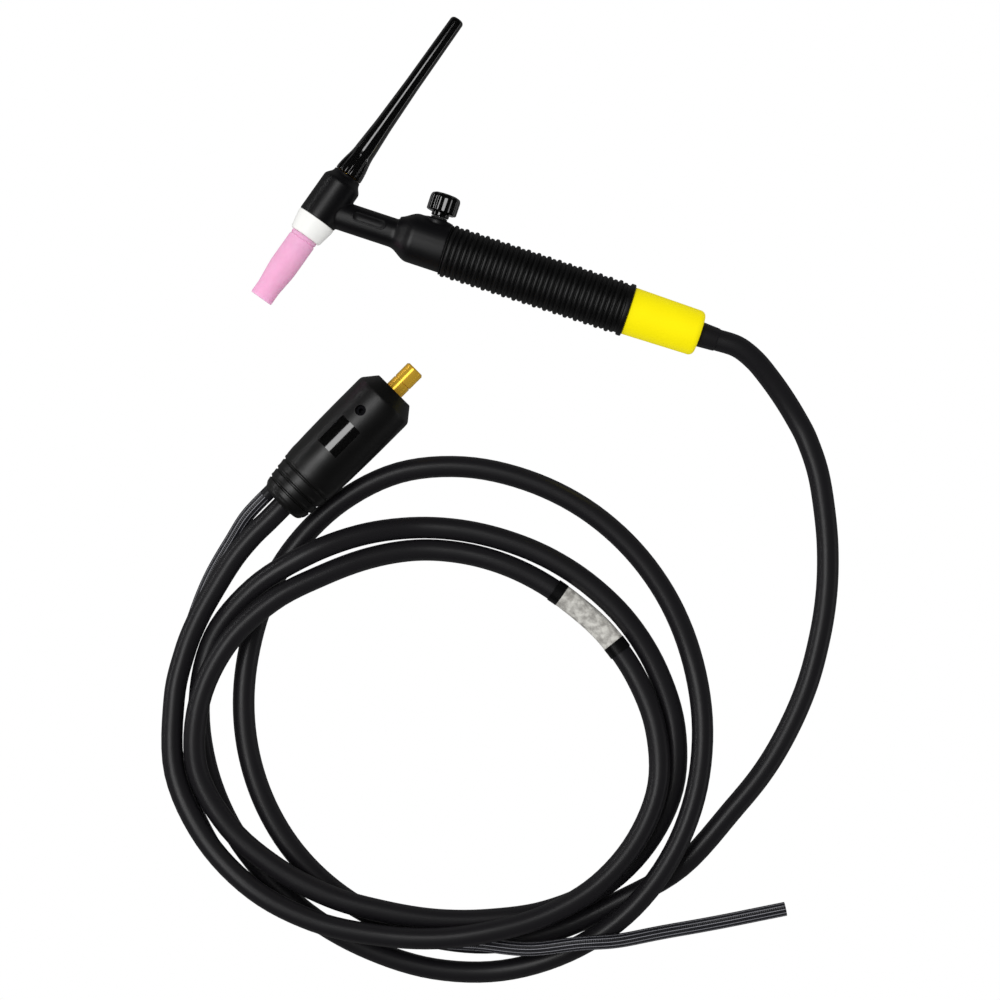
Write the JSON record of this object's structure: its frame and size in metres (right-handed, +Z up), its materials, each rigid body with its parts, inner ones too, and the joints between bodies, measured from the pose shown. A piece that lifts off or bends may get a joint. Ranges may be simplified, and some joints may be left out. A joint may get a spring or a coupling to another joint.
{
  "type": "tig welding torch",
  "caption": "TIG welding torch with ceramic nozzle, long back cap and gas valve, ribbed handle, coiled power cable with bayonet plug, and thin gas hose.",
  "frame": {"origin": "under the middle of the torch itself, without its cable and hose, on the surface that it lies on", "axes": "+X along the handle, from the head to the cable; +Y to the side of the valve knob and the back cap; +Z up"},
  "size_m": [0.4619, 0.6042, 0.0432],
  "materials": {
    "rubber_black": "satin",
    "plastic_black": "glossy",
    "handle_black": "satin",
    "sleeve_yellow": "satin",
    "ceramic_pink": "matte",
    "ptfe_white": "satin",
    "brass": "satin",
    "copper": "satin",
    "steel": "satin",
    "cable_rubber": "satin",
    "hose_rubber": "satin",
    "label_white": "matte"
  },
  "bodies": {
    "torch": {"torch_jacket": "rubber_black", "head_core": "brass", "collet_body": "brass", "collet": "copper", "neck_tube": "copper", "valve_body": "brass", "gland_nut": "plastic_black", "handle": "handle_black", "rear_adapter": "brass", "cable_nut": "brass", "cable_nipple": "brass", "torch_ferrule": "brass", "cable_inner": "cable_rubber", "cable_conductor": "copper", "rear_sleeve": "sleeve_yellow", "strain_relief": "rubber_black", "power_cable_lead": "cable_rubber", "power_cable_coil": "cable_rubber", "power_cable_tail": "cable_rubber", "cable_label": "label_white", "label_bands": "rubber_black", "plug_cover": "rubber_black", "plug_pin": "brass", "plug_manifold": "brass", "plug_ferrule": "brass", "plug_cable_end": "cable_rubber", "plug_conductor": "copper", "gas_barb": "brass", "hose_clip": "steel", "set_screw": "steel", "plug_plate": "plastic_black", "gas_hose_inner": "hose_rubber", "gas_hose": "hose_rubber", "gas_hose_end": "hose_rubber"},
    "cap": {"back_cap": "plastic_black"},
    "cap_ring": {"cap_o_ring": "rubber_black"},
    "valve": {"valve_stem": "steel", "valve_knob": "plastic_black"},
    "valve_ring": {"stem_o_ring": "rubber_black"},
    "cup": {"nozzle": "ceramic_pink"},
    "cup_gasket": {"insulator": "ptfe_white"},
    "tungsten": {"electrode": "steel"}
  },
  "joints": [
    {"name": "cap_travel", "type": "slide", "parent": "torch", "child": "cap_ring", "axis": [0.2924, 0.9563, 0], "range_m": [0, 0.005]},
    {"name": "cap_screw", "type": "hinge", "parent": "cap_ring", "child": "cap", "pos_m": [-0.113, -0.01147, 0.0175], "axis": [0.2924, 0.9563, 0], "range_deg": [0, 1440]},
    {"name": "valve_travel", "type": "slide", "parent": "torch", "child": "valve_ring", "axis": [0, 1, 0], "range_m": [0, 0.002]},
    {"name": "valve_turn", "type": "hinge", "parent": "valve_ring", "child": "valve", "pos_m": [-0.04779, -0.02324, 0.0175], "axis": [0, 1, 0], "range_deg": [0, 720]},
    {"name": "nozzle_travel", "type": "slide", "parent": "torch", "child": "cup_gasket", "axis": [-0.2924, -0.9563, 0], "range_m": [0, 0.005]},
    {"name": "nozzle_screw", "type": "hinge", "parent": "cup_gasket", "child": "cup", "pos_m": [-0.12849, -0.06215, 0.0175], "axis": [-0.2924, -0.9563, 0], "range_deg": [0, 1440]},
    {"name": "electrode_slide", "type": "slide", "parent": "torch", "child": "tungsten", "axis": [-0.2924, -0.9563, 0], "range_m": [-0.005, 0.012]}
  ],
  "couplings": [
    {"joint": "cap_screw", "follows": "cap_travel", "rad_per_m": 5026.5},
    {"joint": "valve_turn", "follows": "valve_travel", "rad_per_m": 6283.1},
    {"joint": "nozzle_screw", "follows": "nozzle_travel", "rad_per_m": 5026.5}
  ]
}
